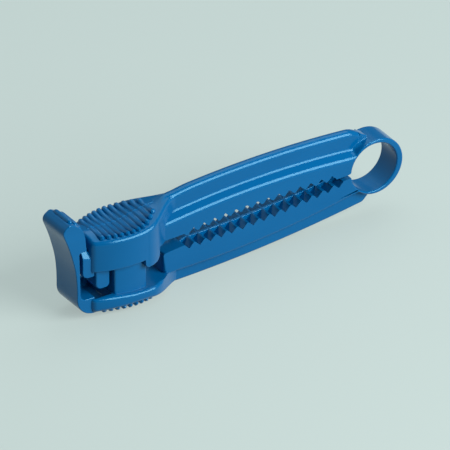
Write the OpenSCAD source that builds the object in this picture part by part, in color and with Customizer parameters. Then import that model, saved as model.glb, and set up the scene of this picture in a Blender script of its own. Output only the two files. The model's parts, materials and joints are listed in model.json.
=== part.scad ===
// Tubing pinch clamp: two toothed jaws on long ribbed arms, joined at one end by a
// C-shaped spring ring and held shut at the other by a hooked release latch.
// The origin is the centre of the ring's eye. +X runs out through the ring, the latch
// stands at -X, +Z is up, and the clamp is symmetric about the plane Y = 0.

/* [Spring ring] */
// Radius of the eye through the ring
eye_r = 8.25; // [7:0.25:9.5]
// Wall of the ring over and under the eye
ring_wall = 1.2; // [1:0.05:1.6]
// How much thicker the ring's wall gets at its far side
ring_swell = 0.85; // [0.4:0.05:1.2]

/* [Jaws] */
// Width of both jaws and of the ring
jaw_w = 8.8; // [7.4:0.2:10.6]
// Distance from the eye's centre to the jaws' last notch, beside the pads
jaw_l = 65.5; // [54:0.5:79]
// Depth of each jaw from its teeth to its shoulder
jaw_h = 7.5; // [6.2:0.1:9]
// Depth of the notches between the teeth
tooth_h = 1.7; // [1.4:0.1:1.9]
// Distance from notch to notch
tooth_pitch = 3.88; // [3.8:0.02:4.7]
// Gap between the tooth tips, half way along the jaws
jaw_gap = 4.95; // [4.6:0.05:6]
// Width of the pinching bead along the lower jaw
bead_w = 1; // [0.6:0.1:1.6]

/* [Ribs] */
// Thickness of the stiffening ribs
rib_w = 4; // [3:0.2:5]
// Height of the ribs over the jaws' shoulders
rib_h = 5.7; // [4.6:0.1:6.9]

/* [Thumb pads] */
// Full width of the pads
pad_w = 19; // [16:0.5:22]
// Thickness of the upper pad's skirt
skirt_t = 1.5; // [1.2:0.1:2]
// Distance from grip ridge to grip ridge
ridge_pitch = 2.03; // [1.8:0.01:2.5]
// Number of grip ridges on each pad
ridge_count = 12; // [9:1:12]
// Radius of the grip ridges' rounded crests
ridge_r = 0.85; // [0.6:0.05:0.95]

/* [Latch] */
// Width of the latch
latch_w = 11.6; // [10:0.2:13]
// Thickness of the latch's flexing plate at its root
latch_t = 1.2; // [1:0.05:1.6]
// Width of the nose that the hook holds
nose_w = 10.8; // [9:0.2:11.6]

/* [Fits] */
// Clearance around pieces that slide past each other
slip = 0.3; // [0.2:0.05:0.4]

/* [Hidden] */
blue = [0.01, 0.36, 0.66];
over = 1;       // how far a cutting solid passes the face that it cuts
big = 60;       // reaches past the whole clamp
$fn = 72;

// Places along the clamp, counted from the middle of the thumb pads
pad_x = -jaw_l - 24.5;
pad_end = pad_x - 13.6;     // the pads' ends, beside the latch
flare_x = pad_x + 7;        // the pads start to narrow towards the jaws
neck_x = pad_x + 17;        // and are down to the jaws' width here
ring_end = -0.8;            // the ribs have run out on the ring here
lower_jaw_end = pad_x + 13.7;

// Faces of the jaws: the line of the tooth tips bows away from the lower jaw
upper_tip = 1.1;
lower_tip = upper_tip - jaw_gap;
mid_x = -45;                // the upper jaw's tips are highest here
function upper_tips(x) = upper_tip - (x < mid_x ? 0.00286 : 0.0008) * pow(x - mid_x, 2);
function lower_tips(x) = lower_tip + 0.0014 * pow(x + 55, 2);
tooth_n = floor((jaw_l - 13) / tooth_pitch) + 1;
tooth_lag = 1.44;           // the lower notches stand this far behind the upper ones

// Shoulders and ribs: the arms arch away from each other
upper_edge = upper_tip + jaw_h;
lower_edge = lower_tip - jaw_h - 0.6;
upper_arch_r = 235;         // radius of the upper shoulder's edge
lower_arch_r = 300;
upper_crown = -43;          // the upper arm is highest here
lower_crown = -60;          // the lower arm is lowest here
edge_r = 0.5;
shoulder_h = 1;
fillet = 0.45;
seam = 0.02;                // keeps the ring's root just inside the arm's sides

// Pads
lip_z = 10.8;
foot_lip_z = -14.3;
lip_r = 1.5;
pad_rise = 0.3;             // the gripping surface stands this far over the lip
side_r = 30;                // radius of the pads' curved sides
skirt_z = -0.5;
flange_z = -9.9;
ridge_bury = 0.25;          // how far a ridge's axis stands under the pad's surface
ridge_first = pad_x - 9.6;
ridge_span = pad_w * 0.4;   // half the length of the longest ridge
ridge_reach = 14;           // the ridges shorten to nothing this far from the pad's middle
slab_depth = 20;            // depth of a pad before its underside is cut away
skirt_reach = -9;           // the flare of the upper pad starts this low
rib_flare = rib_w / 2 + 1.6; // half width of the gripping surface where it meets the rib
grip_inset = 1.7;           // from the pad's wall to its gripping surface

// Pieces between the pads
tongue_w = 12;
tongue = [pad_x - 11.9, pad_x - 6.9];
tongue_z = -7.4;
guide = [pad_x - 5.9, pad_x + 5.5];
guide_z = 1;
cavity_z = 7;
lobe = [guide[1] + slip, pad_x + 10.6];
lobe_z = -3.4;
pocket_z = -13.4;

// Latch, its foot, and the nose
latch_cut = -6.5;           // the latch starts here, above the rounded foot
plate_x = pad_x - 17.3;     // inner face of the plate
foot_r = 5.8;
foot_top = -9.4;
foot_z = -15.1;
foot_end = pad_x - 11.4;
ledge_z = 7.7;
nose = [pad_x - 16.3, pad_x - 12];
nose_z = -2.4;
grip_r = 1;

function mix(a, b, t) = a + (b - a) * t;
function ramp(a, b, x) = let (t = min(1, max(0, (x - a) / (b - a)))) t * t * (3 - 2 * t);
// Points of an arc about (cx, cy), from angle a0 to angle a1
function arc(cx, cy, r, a0, a1, n = 8) =
    [for (i = [0 : n]) let (a = mix(a0, a1, i / n)) [cx + r * cos(a), cy + r * sin(a)]];

// Half the width of the arms at x: rounded pad, then a flare down to the jaw or to the rib
function pad_half(x) = pad_w / 2 - side_r + sqrt(pow(side_r, 2) - pow(x - pad_x - 0.5, 2));
function half(x, narrow) = x < flare_x ? pad_half(x)
    : mix(pad_half(flare_x), narrow, ramp(flare_x, neck_x - 1, x));

// Height of an arch of radius r with its crown at (x0, z0)
function arched(x, x0, z0, r) = z0 - r + sqrt(r * r - pow(x - x0, 2));
function upper_shoulder(x) = arched(x, upper_crown, upper_edge, upper_arch_r);
function upper_rib(x) = arched(x, upper_crown, upper_edge + rib_h, upper_arch_r + rib_h);
// Height of the upper pad's gripping surface: level, then rising to the rib
function upper_grip(x) =
    mix(lip_z + pad_rise, upper_rib(neck_x), ramp(pad_x, neck_x + 3, x));
// The same for the lower arm, measured downwards
function lower_shoulder(x) = arched(x, lower_crown, -lower_edge, lower_arch_r);
function lower_rib(x) = arched(x, lower_crown, -lower_edge + rib_h - 1, lower_arch_r + rib_h - 1);
function lower_grip(x) =
    mix(-foot_lip_z + pad_rise, lower_rib(neck_x), ramp(pad_end, neck_x, x));

// Extrudes a side view (x, z) across the clamp, centred on Y = 0
module across(w) {
    rotate([90, 0, 0]) translate([0, 0, -w / 2]) linear_extrude(w) children();
}

// Plan view of a pad and its flare, inset all round, from x0 to x1
module plan(x0, x1, inset, narrow) {
    xs = [for (i = [0 : 14]) mix(x0, x1, i / 14)];
    polygon(concat(
        [for (x = xs) [x, inset - half(x, narrow)]],
        [for (i = [14 : -1 : 0]) [xs[i], half(xs[i], narrow) - inset]]
    ));
}

// One arm's jaw, shoulder and rib, turned about the arch's centre from x0 to the ring.
// Its outside faces up; the inside is left deep, to be cut to the jaw's face.
module arm(x0, crown, edge, r, rise) {
    top = r + rise;
    right = [
        [r - 16, jaw_w / 2],
        [r - edge_r, jaw_w / 2],
        each arc(r - edge_r, jaw_w / 2 - edge_r, edge_r, 90, 0, 3),
        [r + shoulder_h, rib_w / 2 + fillet * 1.5],
        [r + shoulder_h + fillet * 0.3, rib_w / 2 + fillet * 0.5],
        [r + shoulder_h + fillet, rib_w / 2],
        each arc(top - edge_r, rib_w / 2 - edge_r, edge_r, 90, 0, 3)
    ];
    a0 = acos(-(crown - ring_end) / r);
    a1 = acos((x0 - crown) / r);
    translate([crown, 0, edge - r]) rotate([90, 0, 0]) rotate([0, 0, a0])
        rotate_extrude(angle = a1 - a0, $fn = 360)
            polygon(concat(right, [for (i = [len(right) - 1 : -1 : 0]) [right[i][0], -right[i][1]]]));
}

// Slab with curved sides and a rounded lip at height z, from the pads' end to the flare
module pad_slab(z, deep) {
    intersection() {
        pad_disc(1, z, deep);
        pad_disc(-1, z, deep);
        translate([pad_end, -big / 2, -big / 2]) cube([flare_x - pad_end, big, big]);
    }
}
module pad_disc(s, z, deep) {
    translate([pad_x + 0.5, s * (side_r - pad_w / 2), 0]) rotate_extrude($fn = 180)
        polygon(concat(
            [[0, z - deep], [side_r, z - deep]],
            arc(side_r - lip_r, z - lip_r, lip_r, 0, 90, 6),
            [[0, z]]
        ));
}

// Rounded grip ridges across a pad whose surface stands at the given heights
module ridges(heights) {
    for (i = [0 : ridge_count - 1])
        let (x = ridge_first + ridge_pitch * i,
             span = ridge_span * sqrt(1 - pow((x - pad_x + 1) / ridge_reach, 2)))
            translate([x, span, heights[i] - ridge_bury]) rotate([90, 0, 0])
                cylinder(h = 2 * span, r = ridge_r, $fn = 20);
}

// One notched face: a row of V notches, each from tip to tip
function notches(first, n, s) = [
    for (i = [0 : n - 1]) let (x = first + tooth_pitch * i, z = s > 0 ? upper_tips(x) : lower_tips(x))
        each [[x - tooth_h, z], [x, z + s * tooth_h], [x + tooth_h, z]]
];

// The ring without its eye, and the eye
module ring_disc() {
    translate([ring_swell, jaw_w / 2, 0]) rotate([90, 0, 0]) cylinder(h = jaw_w, r = eye_r + ring_wall);
}
module eye() {
    translate([0, big / 2, 0]) rotate([90, 0, 0]) cylinder(h = big, r = eye_r);
}

// The part of the ring that is firm, in the root of an arm, above height z
module ring_root(z) {
    intersection() {
        ring_disc();
        translate([-7, seam - jaw_w / 2, z]) cube([7 + ring_end + over, jaw_w - 2 * seam, big]);
    }
}

// Everything past the joints of the arms with the ring
module beyond_arms() {
    translate([ring_end, -big / 2, -big / 2]) cube(big);
}

// The part of the ring that flexes
module spring_ring() {
    color(blue) difference() {
        ring_disc();
        eye();
        translate([ring_end - big, -big / 2, -big / 2]) cube(big);
    }
}

module upper_arm() {
    color(blue) union() {
        difference() {
            union() {
                arm(neck_x - 1, upper_crown, upper_edge, upper_arch_r, rib_h);
                ring_root(1);
                pad_slab(lip_z, slab_depth);
                // the pad's walls flare into the jaw
                intersection() {
                    translate([0, 0, skirt_reach]) linear_extrude(big) plan(flare_x, neck_x, 0, jaw_w / 2);
                    across(big) polygon(concat(
                        [[flare_x, skirt_reach]],
                        [for (i = [0 : 6]) let (x = mix(flare_x, neck_x, i / 6))
                            [x, mix(lip_z - 0.4, upper_shoulder(neck_x), ramp(flare_x, neck_x, x))]],
                        [[neck_x, skirt_reach]]
                    ));
                }
                // the rib widens into the gripping surface
                intersection() {
                    linear_extrude(big) plan(pad_end, neck_x, grip_inset, rib_flare);
                    across(big) polygon(concat(
                        [[pad_end, 5]],
                        [for (i = [0 : 12]) let (x = mix(pad_end, neck_x, i / 12)) [x, upper_grip(x)]],
                        [[neck_x, 5]]
                    ));
                }
            }
            // underside: skirt, lobes, flat, teeth and the end beside the ring
            across(big) polygon(concat(
                [[pad_end - over, -big / 2], [pad_end - over, skirt_z], [lobe[0], skirt_z]],
                [[lobe[0], lobe_z + 0.6], [lobe[0] + 0.6, lobe_z]],
                arc(lobe[1] - 1.9, lobe_z + 1.9, 1.9, -90, 0, 4),
                [[lobe[1] + 0.4, 0.45], [-jaw_l - 3.2, 0.45], [-jaw_l - 2.6, upper_tips(-jaw_l - 2)]],
                notches(-jaw_l, tooth_n, 1),
                [[-8.9, 0.3], [-8.2, -0.3], [ring_end + over, -0.3], [ring_end + over, -big / 2]]
            ));
            // hollow for the guide block
            translate([0, 0, -over - 6]) linear_extrude(cavity_z + over + 6)
                plan(tongue[1], lobe[0], skirt_t, jaw_w / 2);
            // the rib runs out on the ring
            across(big) polygon([
                [-6.3, 12.3], [-2.6, 10], [ring_end - 0.7, 9.45], [ring_end + 4, 9.4],
                [ring_end + 4, big], [-6.3, big]
            ]);
            eye();
            beyond_arms();
        }
        ridges([for (i = [0 : ridge_count - 1]) upper_grip(ridge_first + ridge_pitch * i)]);
        // tongue
        across(tongue_w) polygon(concat(
            [[tongue[0], 3]],
            arc(tongue[0] + 2.2, tongue_z + 2.2, 2.2, 180, 270, 6),
            arc(tongue[1] - 1.4, tongue_z + 1.4, 1.4, 270, 360, 4),
            [[tongue[1], 3]]
        ));
        // nose
        across(nose_w) polygon(concat(
            [[nose[1] + over, ledge_z - 2.6], [nose[0] + 0.8, ledge_z - slip / 2], [nose[0], ledge_z - 1]],
            arc(nose[0] + 2, nose_z + 2, 2, 180, 270, 5),
            [[nose[1] + over, nose_z]]
        ));
    }
}

module lower_arm() {
    color(blue) difference() {
        union() {
            difference() {
                rotate([180, 0, 0]) union() {
                    arm(neck_x - 1, lower_crown, -lower_edge, lower_arch_r, rib_h - 1);
                    ring_root(3);
                    pad_slab(-foot_lip_z, slab_depth);
                    intersection() {
                        translate([0, 0, -5]) linear_extrude(big) plan(flare_x, neck_x, 0, jaw_w / 2);
                        across(big) polygon(concat(
                            [[flare_x, -5]],
                            [for (i = [0 : 6]) let (x = mix(flare_x, neck_x, i / 6))
                                [x, mix(-foot_lip_z, lower_shoulder(neck_x), ramp(flare_x, neck_x, x))]],
                            [[neck_x, -5]]
                        ));
                    }
                    intersection() {
                        linear_extrude(big) plan(pad_end, neck_x, grip_inset, rib_flare);
                        across(big) polygon(concat(
                            [[pad_end, 8]],
                            [for (i = [0 : 12]) let (x = mix(pad_end, neck_x, i / 12)) [x, lower_grip(x)]],
                            [[neck_x, 8]]
                        ));
                    }
                }
                // top: flange, lobe recess, teeth and the end beside the ring
                across(big) polygon(concat(
                    [[ring_end + over, -2.2], [-7.4, -2.2], [-8.2, lower_tips(-10.8)]],
                    [let (p = notches(-jaw_l - tooth_lag, tooth_n + 1, -1)) for (i = [len(p) - 1 : -1 : 0]) p[i]],
                    [[lower_jaw_end + 0.4, lower_tip - 0.25], [lower_jaw_end, lower_tip - 0.65]],
                    [[lower_jaw_end, flange_z - 1.2], [lobe[0] - 0.6, flange_z - 1.2]],
                    [[pad_x, flange_z - 0.6], [pad_end - over, flange_z]],
                    [[pad_end - over, big], [ring_end + over, big]]
                ));
                // the rib runs out on the ring
                across(big) polygon([
                    [-3.3, -13.3], [-0.9, -10.9], [ring_end + 4, -10.9], [ring_end + 4, -big], [-3.3, -big]
                ]);
                eye();
                beyond_arms();
            }
            // pinching bead
            across(bead_w) polygon(concat(
                [[-jaw_l - 3, lower_tip - 0.4], [-jaw_l - 0.5, lower_tips(-jaw_l)]],
                [for (x = [-60 : 10 : -20]) [x, lower_tips(x)]],
                [[-10, lower_tips(-11)], [-10, lower_tip - 3], [-jaw_l - 3, lower_tip - 3]]
            ));
            rotate([180, 0, 0]) ridges([for (i = [0 : ridge_count - 1]) lower_grip(ridge_first + ridge_pitch * i)]);
            // guide block
            translate([0, 0, pocket_z]) linear_extrude(guide_z - pocket_z)
                plan(guide[0], guide[1], skirt_t + slip, jaw_w / 2);
            // foot of the latch
            across(latch_w) polygon(concat(
                [[foot_end + over, foot_top], [foot_end + over, foot_z]],
                arc(plate_x - latch_t + foot_r, foot_z + foot_r, foot_r, 270, 180, 8),
                [[plate_x - latch_t, latch_cut], [plate_x, latch_cut]],
                arc(plate_x + 2.2, foot_top + 2.2, 2.2, 180, 270, 6)
            ));
        }
        // pocket for the tongue
        translate([tongue[0] - 0.5, -tongue_w / 2 - slip, pocket_z])
            cube([tongue[1] - tongue[0] + 1.2, tongue_w + 2 * slip, big]);
    }
}

// Flexing plate with its hook and grip ridges
module latch() {
    x = plate_x - latch_t;
    color(blue) union() {
        across(latch_w) polygon([
            [x, latch_cut], [x - 0.2, -3], [x - 0.9, 2], [x - 2.2, 7.5], [x - 3.5, 12], [x - 4.7, 15.3],
            [x - 4.8, 16.6], [x - 4.4, 17.6], [x - 3.5, 18.2], [x - 2, 18.6], [x - 0.6, 17.9], [x + 1.5, 15.5],
            [x + 2.6, 13], [x + 3.2, 10], [x + 3.4, ledge_z], [plate_x - 0.3, ledge_z], [plate_x, latch_cut]
        ]);
        for (p = [[-1.9, 18.2], [-0.1, 16.9], [1.4, 15], [2.4, 12.8]])
            translate([x + p[0], 4, p[1]]) rotate([90, 0, 0]) cylinder(h = 8, r = grip_r);
    }
}

lower_arm();
spring_ring();
upper_arm();
latch();
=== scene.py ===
import bpy
import bmesh
import json
import math
from mathutils import Matrix, Vector

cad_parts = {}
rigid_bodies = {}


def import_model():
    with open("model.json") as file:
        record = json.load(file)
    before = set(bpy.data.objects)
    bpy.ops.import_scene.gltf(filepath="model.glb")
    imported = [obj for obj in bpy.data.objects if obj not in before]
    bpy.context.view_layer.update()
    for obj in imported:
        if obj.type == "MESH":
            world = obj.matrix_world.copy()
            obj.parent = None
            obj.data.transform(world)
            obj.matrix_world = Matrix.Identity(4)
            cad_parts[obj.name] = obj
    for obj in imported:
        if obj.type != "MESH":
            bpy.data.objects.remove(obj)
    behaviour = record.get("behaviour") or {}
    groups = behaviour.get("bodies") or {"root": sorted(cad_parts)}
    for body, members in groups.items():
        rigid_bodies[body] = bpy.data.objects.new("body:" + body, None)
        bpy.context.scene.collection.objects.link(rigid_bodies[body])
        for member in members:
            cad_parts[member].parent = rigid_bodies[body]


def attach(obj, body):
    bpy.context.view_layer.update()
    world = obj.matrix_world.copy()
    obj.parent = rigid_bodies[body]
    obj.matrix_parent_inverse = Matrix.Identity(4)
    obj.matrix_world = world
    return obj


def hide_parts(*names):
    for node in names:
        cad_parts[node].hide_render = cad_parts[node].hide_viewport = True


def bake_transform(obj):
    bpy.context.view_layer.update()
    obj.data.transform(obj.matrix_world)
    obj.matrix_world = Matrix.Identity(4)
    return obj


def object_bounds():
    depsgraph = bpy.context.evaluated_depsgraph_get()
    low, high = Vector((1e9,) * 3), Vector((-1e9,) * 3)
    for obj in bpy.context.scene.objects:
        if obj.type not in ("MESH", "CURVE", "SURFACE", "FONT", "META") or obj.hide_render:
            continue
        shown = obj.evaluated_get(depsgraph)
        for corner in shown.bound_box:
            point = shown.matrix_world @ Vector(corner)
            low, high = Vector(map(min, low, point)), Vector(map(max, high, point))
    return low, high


# %% [markdown]
# A tubing pinch clamp is one moulding of glossy blue plastic: two toothed jaws on ribbed
# arms, a spring ring that joins them, thumb pads with grip ridges, and a hooked latch.
# The CAD frame gives the places. The visible skins are built here with the roundings and
# fillets that a mould leaves, and the two arms ride on the bodies that move them.

# %% Load the frame
for obj in list(bpy.data.objects):
    bpy.data.objects.remove(obj)  # the new file's own cube, lamp and camera
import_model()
cad_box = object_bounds()
print("CAD box, mm:", [[round(v * 1000, 1) for v in c] for c in cad_box])

# %% [markdown]
# All sizes below are in millimetres, as a toolmaker would write them, and a single
# function turns points into metres. The X axis runs along the clamp from the latch at
# minus X to the ring at plus X, with the centre of the ring's eye at the origin.

# %% Units and curves
MM = 0.001
EYE_R = 8.25  # the hole through the spring ring
EYE_DX = 0.3  # how far the hole is set off along X, and towards each arm's outside
RING_R = 9.45  # the outside of the ring
RING_DX = 1.2  # the outside is set off further, so the ring's far wall is the thickest
JAW = 4.4  # half the width of the jaws and of the ring
PAD_X = -90.0  # the middle of the thumb pads
PAD_END = -103.6  # their ends, beside the latch
PAD_HALF = 9.5  # half their width
END_R = 1.3  # the rounding of those ends
FLARE = -85.0  # the pads start to narrow here
FLARE_END = -69.5  # and are down to the rib here


def mix(a, b, t):
    """The value a share t of the way from a to b."""
    return a + (b - a) * t


def ramp(a, b, x):
    """0 before a, 1 after b, smooth between them."""
    t = min(1.0, max(0.0, (x - a) / (b - a)))
    return t * t * (3 - 2 * t)


def arc(cx, cz, r, a0, a1, n=8):
    """Points of an arc in degrees, both ends included."""
    steps = [math.radians(mix(a0, a1, i / n)) for i in range(n + 1)]
    return [(cx + r * math.cos(a), cz + r * math.sin(a)) for a in steps]


def arched(x, x0, z0, r):
    """Height at x of an arch of radius r with its crown at (x0, z0)."""
    return z0 - r + math.sqrt(r * r - (x - x0) ** 2)


def smooth_max(a, b, k):
    """The larger of a and b, blended over a band k wide where they cross."""
    h = max(k - abs(a - b), 0) / k
    return max(a, b) + h * h * k / 4


def smooth_min(a, b, k):
    """The smaller of a and b, blended in the same way."""
    return -smooth_max(-a, -b, k)


print("a quarter circle in 2 steps:", [(round(x, 3), round(z, 3)) for x, z in arc(0, 0, 1, 0, 90, 2)])

# %% [markdown]
# Seen from above, each arm is a straight jaw that flares into a rounded pad. Seen from
# the side, its shoulder and its rib are two arches, and the gripping surface of the pad
# rises into the rib. These few functions hold the whole shape, so that every section of
# the skin agrees with the next one.

# %% Shape of the arms
RIB = 1.74  # half the thickness of the upper rib
SUNK = 0.02  # one skin stands this far inside another where the two meet


def through(points, x):
    """Height at x of a smooth line through points (x, z)."""
    i = max(0, min(len(points) - 2, sum(1 for px, _ in points if px <= x) - 1))
    (x0, z0), (x1, z1) = points[i], points[i + 1]
    before, after = points[max(0, i - 1)], points[min(len(points) - 1, i + 2)]
    t = min(1.0, max(0.0, (x - x0) / (x1 - x0)))
    m0 = (z1 - before[1]) / (x1 - before[0]) * (x1 - x0)
    m1 = (after[1] - z0) / (after[0] - x0) * (x1 - x0)
    a, b = t * t * (3 - 2 * t), t * (1 - t)
    return mix(z0, z1, a) + b * ((1 - t) * m0 - t * m1)


def pad_width(x, r=30):
    """Half the width of a pad, and of the flare that narrows from it into the rib."""
    w = arched(min(x, FLARE), PAD_X + 0.5, PAD_HALF, r)
    return mix(w, RIB - SUNK, ramp(FLARE, FLARE_END, x))


def end_drop(x, r=END_R):
    """How far the pad's surfaces draw in near its end, to round that end."""
    t = max(0.0, r - (x - PAD_END))
    return r - math.sqrt(max(0.0, r * r - t * t))


def ring_top(x):
    """Height of the ring's outside at x."""
    return math.sqrt(max(0.01, RING_R ** 2 - (x - RING_DX) ** 2))


def upper_rib(x):
    """Crest of the upper rib: an arch that dips beside the pad and runs out on the ring."""
    rib = arched(x, -44.5, 15.2, 356) - 0.4 * ramp(-64, -72, x)
    return smooth_min(rib, 12.9 - (x + 5.3) * 2.3 / 3.7, 0.9)


def lower_rib(x):
    """Crest of the lower rib, measured before the arm is turned over."""
    return smooth_min(arched(x, -66, 16.95, 480), 13.6 - (x + 3.3), 0.5)


# The pads' rims, and the line down the middle of each pad: dished, then rising to the rib
UPPER_RIM, LOWER_RIM = 10.2, 14.6
RIB_FOOT = -70
UPPER_GRIP = [(-104, 11.2), (-99.6, 11.0), (-95.7, 10.6), (-91.6, 10.25), (-88, 10.6), (-84, 11.35),
              (-80, 12.05), (-77, 12.4), (-73.5, 13.6), (RIB_FOOT, upper_rib(RIB_FOOT) - SUNK)]
LOWER_GRIP = [(-104, 15.5), (-99.6, 15.6), (-95.7, 15.4), (-91.6, 15.1), (-88, 15.2), (-84, 15.6),
              (-80, 16.1), (-77, 16.35), (-73.5, 16.7), (RIB_FOOT, lower_rib(RIB_FOOT) - SUNK)]


def pad_top(x, grip, rim_height):
    """(height of the rim, height of the middle) of a pad at x."""
    middle = through(grip, x)
    return min(mix(rim_height, grip[-1][1], ramp(-88, -67, x)), middle + 0.6), middle


def arm_top(x, shoulder, rib, grip, blend):
    """(height of the shoulder's edge, height of the rib) of an arm at x."""
    if x < FLARE_END - 1:
        # the rib follows the pad's middle, then dives under it
        rib = through(grip, x) + SUNK - 0.35 * ramp(FLARE_END - 2, FLARE_END - 5, x)
    ring = ring_top(x) if x > -8.5 else 0
    return smooth_max(shoulder, ring, 0.5), smooth_max(rib, ring + 0.05, blend)


def upper_top(x):
    """Shoulder and rib of the upper arm at x."""
    return arm_top(x, arched(x, -43, 8.42, 300), upper_rib(x), UPPER_GRIP, 1.2)


def lower_top(x):
    """Shoulder and rib of the lower arm at x."""
    return arm_top(x, arched(x, -60, 11.95, 300), lower_rib(x), LOWER_GRIP, 0.8)


for x in (-99.6, -91.6, -84, -77, -73):
    print("pad at", x, "half width", round(pad_width(x), 2), "upper rim and middle",
          [round(v, 2) for v in pad_top(x, UPPER_GRIP, UPPER_RIM)])

# %% [markdown]
# One section of an arm is a closed loop: the wall, a rounded edge, a sloping shoulder, a
# concave fillet, and the rib with its own rounded crest. A concave fillet touches both
# the slope and the rib, so its centre is worked out from the two. A section of a pad is
# simpler: a wall, a rounded rim, and a top that is dished for a thumb.
#
# In each form, edge, foot, crest and low are the radii of a section's roundings, slope is
# the shoulder's angle in degrees, rib is half the rib's thickness, round is the radius of
# the pad's curved sides, and lag is how far the whole pad stands back from the latch.

# %% Sections of an arm and of a pad
UPPER = {"top": upper_top, "grip": UPPER_GRIP, "rim": UPPER_RIM, "slope": 36, "edge": 1.8, "rib": RIB,
         "foot": 1.4, "crest": 1.55, "low": 0.5, "lag": 0.0, "round": 30}
LOWER = {"top": lower_top, "grip": LOWER_GRIP, "rim": LOWER_RIM, "slope": 20, "edge": 0.6, "rib": 2.1,
         "foot": 0.8, "crest": 0.5, "low": 1.1, "lag": 1.5, "round": 45}
PAD_LIP = 1.5  # the rounding of a pad's rim


def mirrored(half, middle):
    """A whole section from its right half, with one point on the middle plane."""
    return half + [middle] + [(-y, z) for y, z in reversed(half)]


def arm_section(x, form, bottom):
    """Loop of (y, z) points at x, from the bottom right round to the bottom left."""
    edge, crest = form["top"](x)
    near_ring = ramp(-9, -3.5, x)
    r_edge = mix(form["edge"], 0.35, near_ring)
    slope = math.radians(mix(form["slope"], 3, near_ring))
    rib, r_foot, r_top = form["rib"], form["foot"], form["crest"]
    half = [(JAW, bottom)] + arc(JAW - r_edge, edge - r_edge, r_edge, 0, 90 - math.degrees(slope), 8)
    y0, z0 = half[-1]

    def foot_height(r):
        return z0 + (y0 - rib - r) * math.tan(slope) + r / math.cos(slope)

    z_foot = foot_height(r_foot)
    if crest - r_top - z_foot < 0.02:
        # no room for full roundings where the rib has run out on the ring
        r_foot, r_top = r_foot * 0.3, r_top * 0.3
        z_foot = foot_height(r_foot)
        crest = max(crest, z_foot + r_top + 0.01)
    half += arc(rib + r_foot, z_foot, r_foot, 270 - math.degrees(slope), 180, 6)
    half += arc(rib - r_top, crest - r_top, r_top, 0, 90, 7)
    return mirrored(half, (0.0, crest))


def pad_section(x, form, bottom):
    """The same for a pad: its wall, its rounded rim, and its dished top."""
    draw = end_drop(x)
    rim_z, middle = pad_top(x, form["grip"], form["rim"])
    w, rim_z, middle = pad_width(x - form["lag"], form["round"]) - draw, rim_z - draw, middle - draw
    r = mix(PAD_LIP, form["crest"], ramp(FLARE, -72, x))
    r_low = min(max(0.01, form["low"] * ramp(-77.5, -79.5, x)), (rim_z - r - bottom) * 0.45)
    half = arc(w - r_low, bottom + r_low, r_low, 270, 360, 4) + arc(w - r, rim_z - r, r, 0, 90, 10)
    for i in range(1, 8):
        t = 1 - i / 8
        half.append(((w - r) * t, mix(middle, rim_z, t * t)))
    return mirrored(half, (0.0, middle))


print("points in a section:", len(arm_section(-43, UPPER, 2.5)), "and", len(pad_section(-90, UPPER, -0.5)))

# %% [markdown]
# A skin is made by joining each section to the next with four-sided faces and closing
# both ends. The upper arm is built as it stands, and the lower arm is built the same way
# up and then turned over about the X axis, which keeps its faces pointing outwards.

# %% Loft, prism and slab


def new_object(name, verts, faces):
    """An object from points in millimetres, welded, with its faces turned outwards."""
    mesh = bpy.data.meshes.new(name)
    mesh.from_pydata([Vector(v) * MM for v in verts], [], faces)
    bm = bmesh.new()
    bm.from_mesh(mesh)
    bmesh.ops.remove_doubles(bm, verts=bm.verts, dist=1e-7)
    bmesh.ops.recalc_face_normals(bm, faces=bm.faces)
    bm.to_mesh(mesh)
    bm.free()
    obj = bpy.data.objects.new(name, mesh)
    bpy.context.scene.collection.objects.link(obj)
    return obj


def loft(name, rows):
    """Skins rows of 3-D points, each a closed loop of the same length."""
    m, n = len(rows[0]), len(rows)
    verts = [p for row in rows for p in row]
    faces = []
    for i in range(n - 1):
        for j in range(m):
            k = (j + 1) % m
            faces.append((i * m + j, i * m + k, (i + 1) * m + k, (i + 1) * m + j))
    faces.append(tuple(reversed(range(m))))
    faces.append(tuple((n - 1) * m + j for j in range(m)))
    return new_object(name, verts, faces)


def rounded(obj, width, segments=3, angle=28, **settings):
    """Rounds the edges of an object that turn by more than an angle."""
    mod = obj.modifiers.new("round", "BEVEL")
    mod.width, mod.segments = width * MM, segments
    mod.limit_method, mod.angle_limit = "ANGLE", math.radians(angle)
    for name, value in settings.items():
        setattr(mod, name, value)
    return bake(obj)


def prism(name, outline, half, bevel=0, segments=3):
    """A side view (x, z) spread across the clamp, with its edges rounded."""
    m = len(outline)
    verts = [(x, y, z) for y in (-half, half) for x, z in outline]
    faces = [tuple(range(m)), tuple(reversed(range(m, 2 * m)))]
    faces += [(j, j + m, (j + 1) % m + m, (j + 1) % m) for j in range(m)]
    obj = new_object(name, verts, faces)
    return rounded(obj, bevel, segments, miter_outer="MITER_SHARP") if bevel else obj


def slab(name, outline, z0, z1, bevel):
    """A plan view (x, y) spread from z0 to z1, with its edges rounded."""
    m = len(outline)
    verts = [(x, y, z) for z in (z0, z1) for x, y in outline]
    faces = [tuple(reversed(range(m))), tuple(range(m, 2 * m))]
    faces += [(j, (j + 1) % m, (j + 1) % m + m, j + m) for j in range(m)]
    return rounded(new_object(name, verts, faces), bevel)


def bake(obj):
    """Turns an object's modifiers into its plain mesh."""
    graph = bpy.context.evaluated_depsgraph_get()
    mesh = bpy.data.meshes.new_from_object(obj.evaluated_get(graph))
    obj.modifiers.clear()
    obj.data = mesh
    return obj


def combine(base, tools, operation="UNION"):
    """Joins tools to base, or cuts them from it, and removes them."""
    for tool in tools:
        mod = base.modifiers.new("combine", "BOOLEAN")
        mod.operation, mod.solver, mod.object = operation, "MANIFOLD", tool
        bake(base)
        bpy.data.objects.remove(tool)
    return base


def open_edges(obj):
    """How many edges don't have exactly two faces: none, on a closed skin."""
    bm = bmesh.new()
    bm.from_mesh(obj.data)
    count = sum(1 for e in bm.edges if not e.is_manifold)
    bm.free()
    return count


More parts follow.
